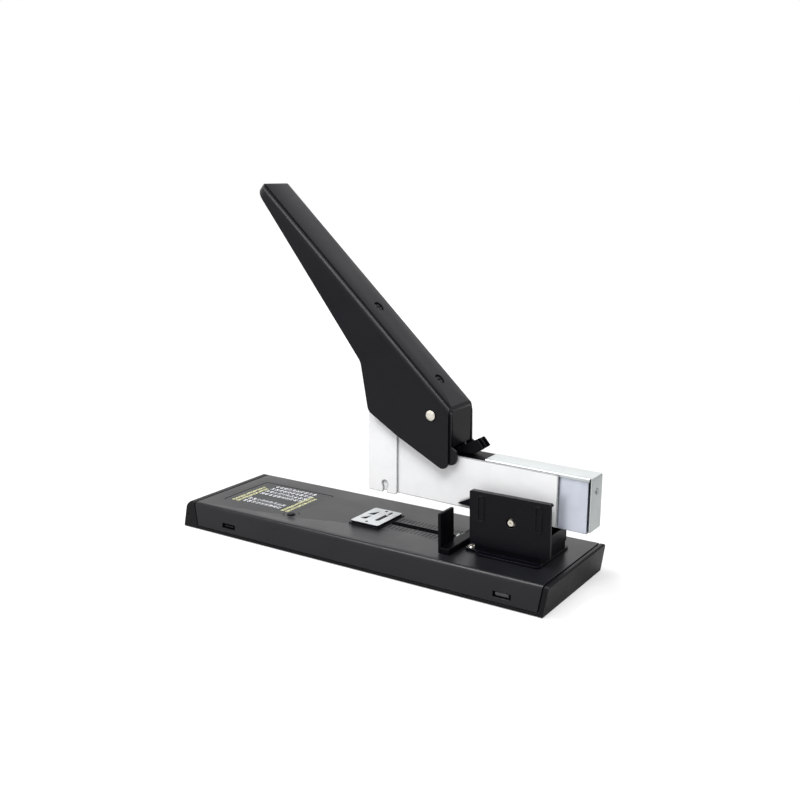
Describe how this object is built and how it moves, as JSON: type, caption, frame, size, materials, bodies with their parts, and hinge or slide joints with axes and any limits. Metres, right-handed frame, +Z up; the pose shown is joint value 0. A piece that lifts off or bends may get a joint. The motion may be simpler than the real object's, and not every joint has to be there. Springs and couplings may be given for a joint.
{
  "type": "heavy-duty stapler",
  "caption": "Heavy-duty desk stapler: long lever above a chromed magazine head that swings on a pedestal, flat black base with anvil, paper stop and size chart.",
  "frame": {"origin": "on the table, under the middle of the steel base shell, at the underside of the grip pad", "axes": "+X along the base towards the rear, where the magazine ends; +Y across the base; +Z up from the table"},
  "size_m": [0.2988, 0.082, 0.2406],
  "materials": {
    "shell_paint": "satin",
    "handle_paint": "satin",
    "bracket_paint": "satin",
    "base_plastic": "matte",
    "stop_plastic": "matte",
    "grip_rubber": "matte",
    "chart_print": "satin",
    "housing_chrome": "polished",
    "cover_chrome": "polished",
    "channel_chrome": "polished",
    "anvil_steel": "satin",
    "plain_steel": "satin",
    "spring_steel": "satin",
    "rivet_steel": "satin",
    "screw_chrome": "polished",
    "black_steel": "satin"
  },
  "bodies": {
    "base": {"base_shell": "shell_paint", "base_tray": "base_plastic", "front_cap": "base_plastic", "rear_cap": "base_plastic", "grip_pad": "grip_rubber", "stiffener_plate": "plain_steel", "size_chart": "chart_print", "corner_plug": "stop_plastic", "anvil_seat": "bracket_paint", "anvil_plate": "anvil_steel", "anvil_rivets": "plain_steel", "pedestal_bracket": "bracket_paint", "near_side_plate": "bracket_paint", "far_side_plate": "bracket_paint", "pedestal_screws": "rivet_steel", "axle_pins": "rivet_steel", "axle_collars": "bracket_paint", "head_spring": "spring_steel"},
    "stop": {"paper_stop": "stop_plastic", "stop_slider": "stop_plastic", "stop_screw": "screw_chrome"},
    "head": {"head_carrier": "bracket_paint", "carrier_rivets": "plain_steel", "housing_plates": "housing_chrome", "nose_sleeve": "housing_chrome", "channel_strips": "plain_steel", "channel_walls": "channel_chrome", "channel_floor": "channel_chrome", "cross_pins": "plain_steel", "handle_spring": "spring_steel", "latch_pin": "plain_steel", "latch_seat": "stop_plastic"},
    "handle": {"handle_cover": "handle_paint", "handle_lever": "handle_paint", "push_arm": "plain_steel", "push_collars": "plain_steel", "push_pin": "plain_steel", "pivot_rivet": "rivet_steel", "cover_screws": "black_steel"},
    "driver": {"driver_block": "plain_steel", "driver_blade": "plain_steel", "block_pins": "plain_steel"},
    "cover": {"magazine_cover": "cover_chrome", "cover_rivet": "plain_steel", "guide_rod": "plain_steel", "pusher_spring": "spring_steel"},
    "pusher": {"staple_pusher": "stop_plastic"},
    "latch": {"release_latch": "stop_plastic"}
  },
  "joints": [
    {"name": "head_hinge", "type": "hinge", "parent": "base", "child": "head", "pos_m": [0.1043, 0, 0.0433], "axis": [0, -1, 0], "range_deg": [0, 11.6], "stiffness_Nm_per_rad": 4, "springref_deg": -12.61, "deforming": ["head_spring"]},
    {"name": "handle_hinge", "type": "hinge", "parent": "head", "child": "handle", "pos_m": [0.04679, 0, 0.10082], "axis": [0, -1, 0], "range_deg": [0, 40], "stiffness_Nm_per_rad": 0.9, "springref_deg": -34.38},
    {"name": "driver_slide", "type": "slide", "parent": "head", "child": "driver", "axis": [-0.0209, 0, -0.9998], "range_m": [0, 0.0305]},
    {"name": "cover_slide", "type": "slide", "parent": "head", "child": "cover", "axis": [0.9998, 0, -0.0209], "range_m": [0, 0.06]},
    {"name": "pusher_slide", "type": "slide", "parent": "cover", "child": "pusher", "axis": [0.9998, 0, -0.0209], "range_m": [0, 0.075], "stiffness_N_per_m": 25, "springref_m": -0.03, "deforming": ["pusher_spring"]},
    {"name": "latch_hinge", "type": "hinge", "parent": "head", "child": "latch", "pos_m": [0.05438, 0, 0.08105], "axis": [0, -1, 0], "range_deg": [0, 8], "stiffness_Nm_per_rad": 0.02, "springref_deg": -22.92},
    {"name": "stop_slide", "type": "slide", "parent": "base", "child": "stop", "axis": [-1, 0, 0], "range_m": [0, 0.048]}
  ],
  "couplings": [
    {"joint": "driver_slide", "follows": "handle_hinge", "m_per_rad": 0.0435}
  ]
}
